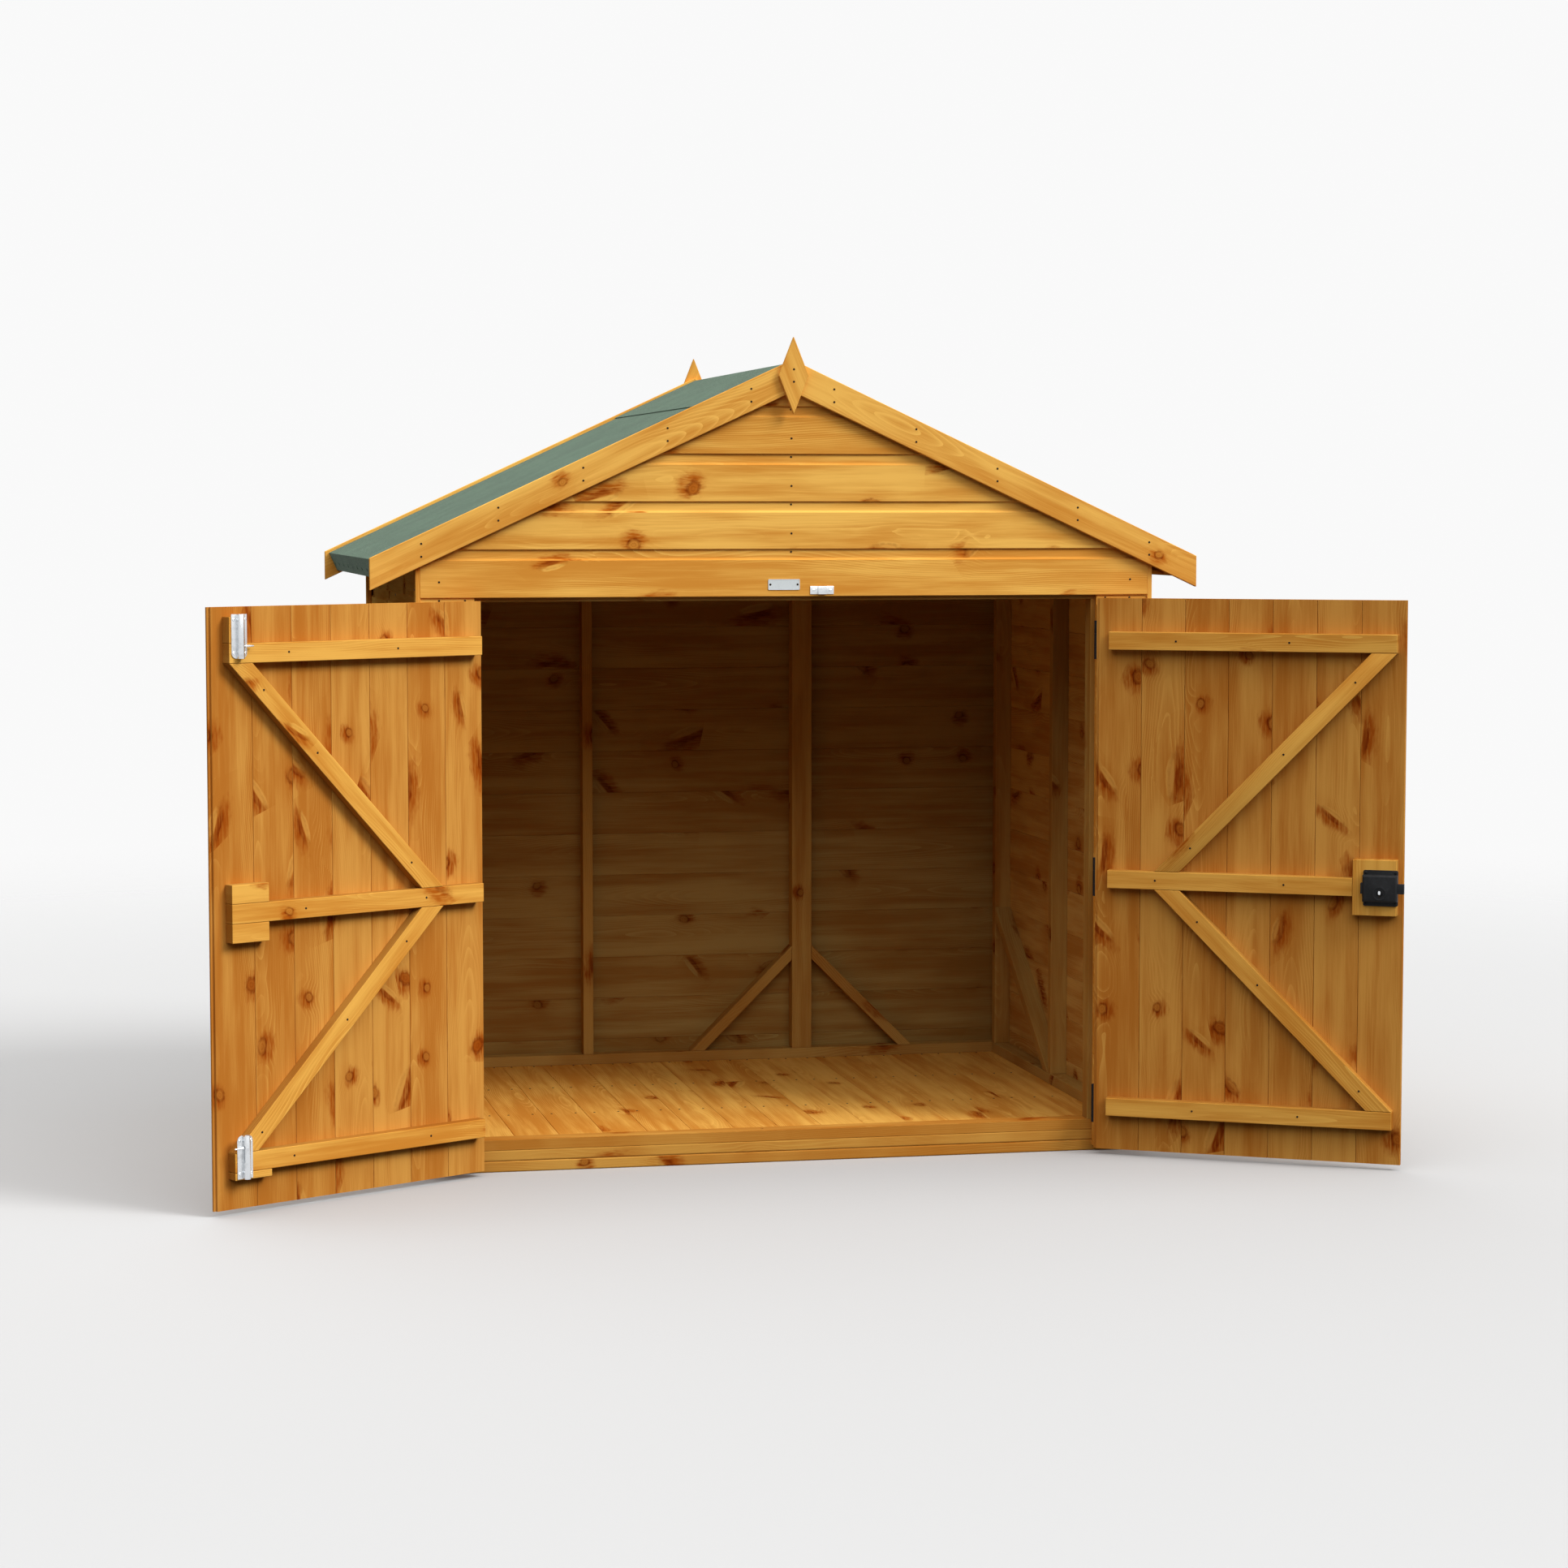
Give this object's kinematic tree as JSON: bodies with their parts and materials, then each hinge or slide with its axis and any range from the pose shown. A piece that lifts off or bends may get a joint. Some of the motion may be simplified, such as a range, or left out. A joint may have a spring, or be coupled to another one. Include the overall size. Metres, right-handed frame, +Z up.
{
  "type": "bike shed",
  "caption": "Apex timber bike shed with a felted roof and hinged ledged-and-braced doors, fitted with sliding bolts and a rim lock; bicycles roll in over a low sill.",
  "frame": {"origin": "on the ground under the middle of the floor", "axes": "+X to the right seen from the front, -Y out of the doorway, +Z up"},
  "size_m": [2.8726, 1.7825, 2.0254],
  "materials": {
    "cladding": "golden stained softwood, satin",
    "door_boards": "golden stained softwood, satin",
    "door_timber": "golden stained softwood, planed",
    "trim": "golden stained softwood, satin",
    "framing": "stained softwood, planed",
    "floor": "softwood boards, planed",
    "roof_boards": "softwood boards, planed",
    "felt": "green mineral felt, matt",
    "black_iron": "black japanned",
    "zinc": "bright zinc plated"
  },
  "bodies": {
    "shed": {"front_wall_left": "cladding", "front_wall_right": "cladding", "front_gable": "cladding", "back_wall": "cladding", "left_wall": "cladding", "right_wall": "cladding", "corner_trims": "trim", "front_bargeboards": "trim", "back_bargeboards": "trim", "finials": "trim", "front_posts": "framing", "front_lintel": "framing", "front_gable_frame": "framing", "back_wall_frame": "framing", "left_wall_frame": "framing", "right_wall_frame": "framing", "roof_battens_left": "framing", "roof_battens_right": "framing", "floor_bearers": "floor", "floor_joists": "floor", "floor_boards": "floor", "front_sill": "floor", "roof_deck_left": "roof_boards", "roof_deck_right": "roof_boards", "roof_felt_left": "felt", "roof_felt_right": "felt", "felt_ridge_strip": "felt", "left_hinge_plates": "black_iron", "right_hinge_plates": "black_iron", "lintel_keep": "zinc"},
    "left_door": {"left_door_boards": "door_boards", "left_door_ledges": "door_timber", "left_door_braces": "door_timber", "left_door_blocks": "door_timber", "left_hinge_straps": "black_iron", "bolt_barrels": "zinc"},
    "top_bolt": {"top_bolt_rod": "zinc"},
    "bottom_bolt": {"bottom_bolt_rod": "zinc"},
    "right_door": {"right_door_boards": "door_boards", "right_door_ledges": "door_timber", "right_door_braces": "door_timber", "lock_block": "door_timber", "lock_case": "black_iron", "right_hinge_straps": "black_iron"},
    "lock_bolt": {"lock_bolt": "black_iron"}
  },
  "joints": [
    {"name": "left_door_hinge", "type": "hinge", "parent": "shed", "child": "left_door", "pos_m": [-0.773, -0.659, 0.7], "axis": [0, 0, -1], "range_deg": [-150, 25]},
    {"name": "right_door_hinge", "type": "hinge", "parent": "shed", "child": "right_door", "pos_m": [0.773, -0.659, 0.7], "axis": [0, 0, 1], "range_deg": [-150, 25]},
    {"name": "top_bolt_slide", "type": "slide", "parent": "left_door", "child": "top_bolt", "axis": [0, 0, -1], "range_m": [-0.03, 0]},
    {"name": "bottom_bolt_slide", "type": "slide", "parent": "left_door", "child": "bottom_bolt", "axis": [0, 0, 1], "range_m": [-0.03, 0]},
    {"name": "lock_bolt_slide", "type": "slide", "parent": "right_door", "child": "lock_bolt", "axis": [-0.866, 0.5, 0], "range_m": [-0.045, 0]}
  ]
}
